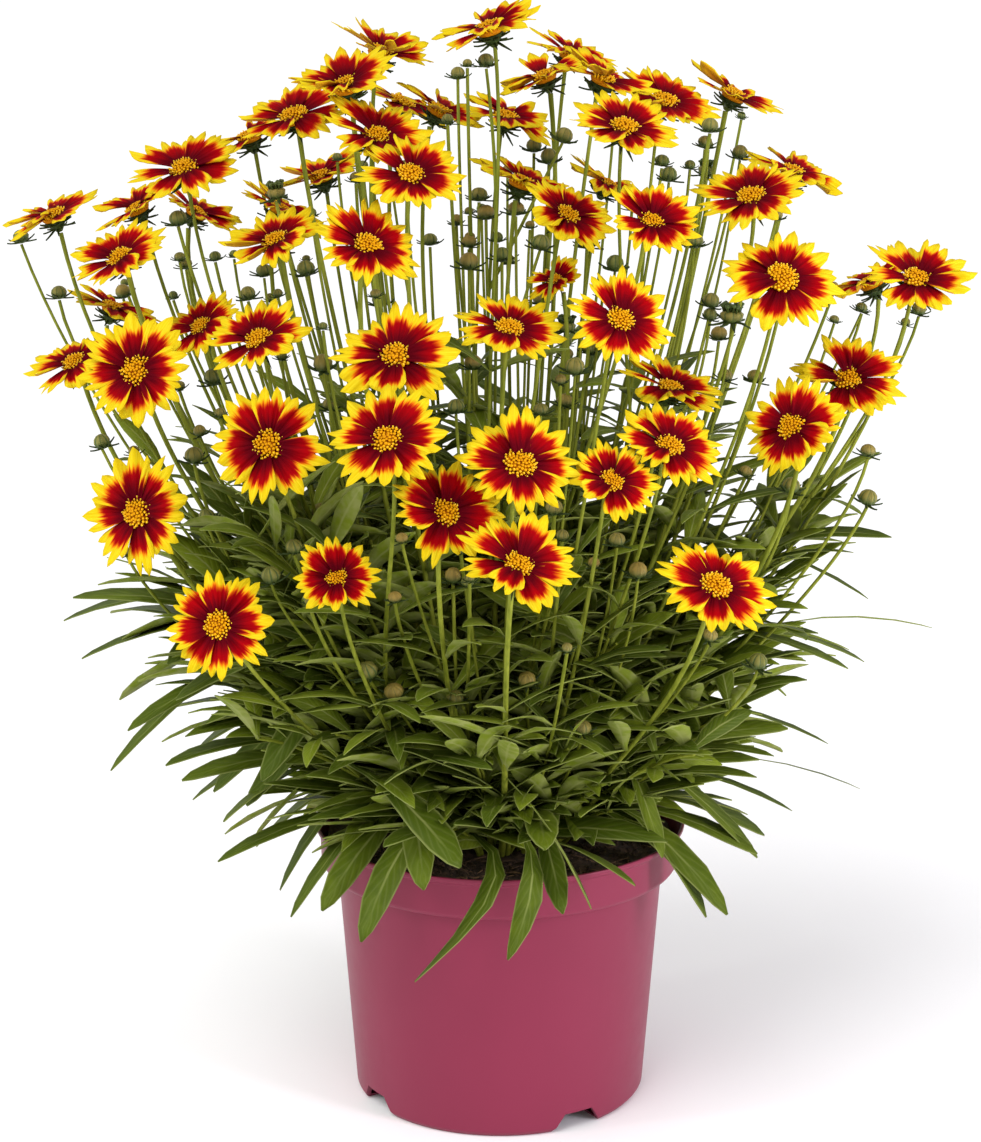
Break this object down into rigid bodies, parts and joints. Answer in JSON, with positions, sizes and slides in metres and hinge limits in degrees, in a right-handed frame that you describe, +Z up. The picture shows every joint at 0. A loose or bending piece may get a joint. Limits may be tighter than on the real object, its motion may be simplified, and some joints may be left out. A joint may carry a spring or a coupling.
{
  "type": "potted coreopsis",
  "caption": "Bushy tickseed perennial with red and yellow toothed daisy blooms on thin stems over narrow leaves, rooted in soil in a round plastic nursery pot that stands on a flat base.",
  "frame": {"origin": "centre of the flat underside of the pot, on the surface it stands on", "axes": "+Z up along the pot's axis, -Y towards the side seen in the reference view, +X to the right of that view"},
  "size_m": [0.4689, 0.387, 0.5519],
  "materials": {
    "pot_pink": "moulded polypropylene, satin gloss, raspberry pink",
    "peat": null,
    "leaf_green": null,
    "petal_red": "velvety deep red petals with bright yellow toothed tips round a golden disc"
  },
  "bodies": {
    "root": {"pot": "pot_pink", "soil": "peat", "plant": "leaf_green", "bloom_01": "petal_red", "bloom_02": "petal_red", "bloom_03": "petal_red", "bloom_04": "petal_red", "bloom_05": "petal_red", "bloom_06": "petal_red", "bloom_07": "petal_red", "bloom_08": "petal_red", "bloom_09": "petal_red", "bloom_10": "petal_red", "bloom_11": "petal_red", "bloom_12": "petal_red", "bloom_13": "petal_red", "bloom_14": "petal_red", "bloom_15": "petal_red", "bloom_16": "petal_red", "bloom_17": "petal_red", "bloom_18": "petal_red", "bloom_19": "petal_red", "bloom_20": "petal_red", "bloom_21": "petal_red", "bloom_22": "petal_red", "bloom_23": "petal_red", "bloom_24": "petal_red", "bloom_25": "petal_red", "bloom_26": "petal_red", "bloom_27": "petal_red", "bloom_28": "petal_red", "bloom_29": "petal_red", "bloom_30": "petal_red", "bloom_31": "petal_red", "bloom_32": "petal_red", "bloom_33": "petal_red", "bloom_34": "petal_red", "bloom_35": "petal_red", "bloom_36": "petal_red", "bloom_37": "petal_red", "bloom_38": "petal_red", "bloom_39": "petal_red", "bloom_40": "petal_red", "bloom_41": "petal_red", "bloom_42": "petal_red", "bloom_43": "petal_red", "bloom_44": "petal_red", "bloom_45": "petal_red", "bloom_46": "petal_red", "bloom_47": "petal_red", "bloom_48": "petal_red", "bloom_49": "petal_red", "bloom_50": "petal_red", "bloom_51": "petal_red", "bloom_52": "petal_red", "bloom_53": "petal_red", "bloom_54": "petal_red", "bloom_55": "petal_red", "bloom_56": "petal_red", "bloom_57": "petal_red"}
  },
  "joints": []
}
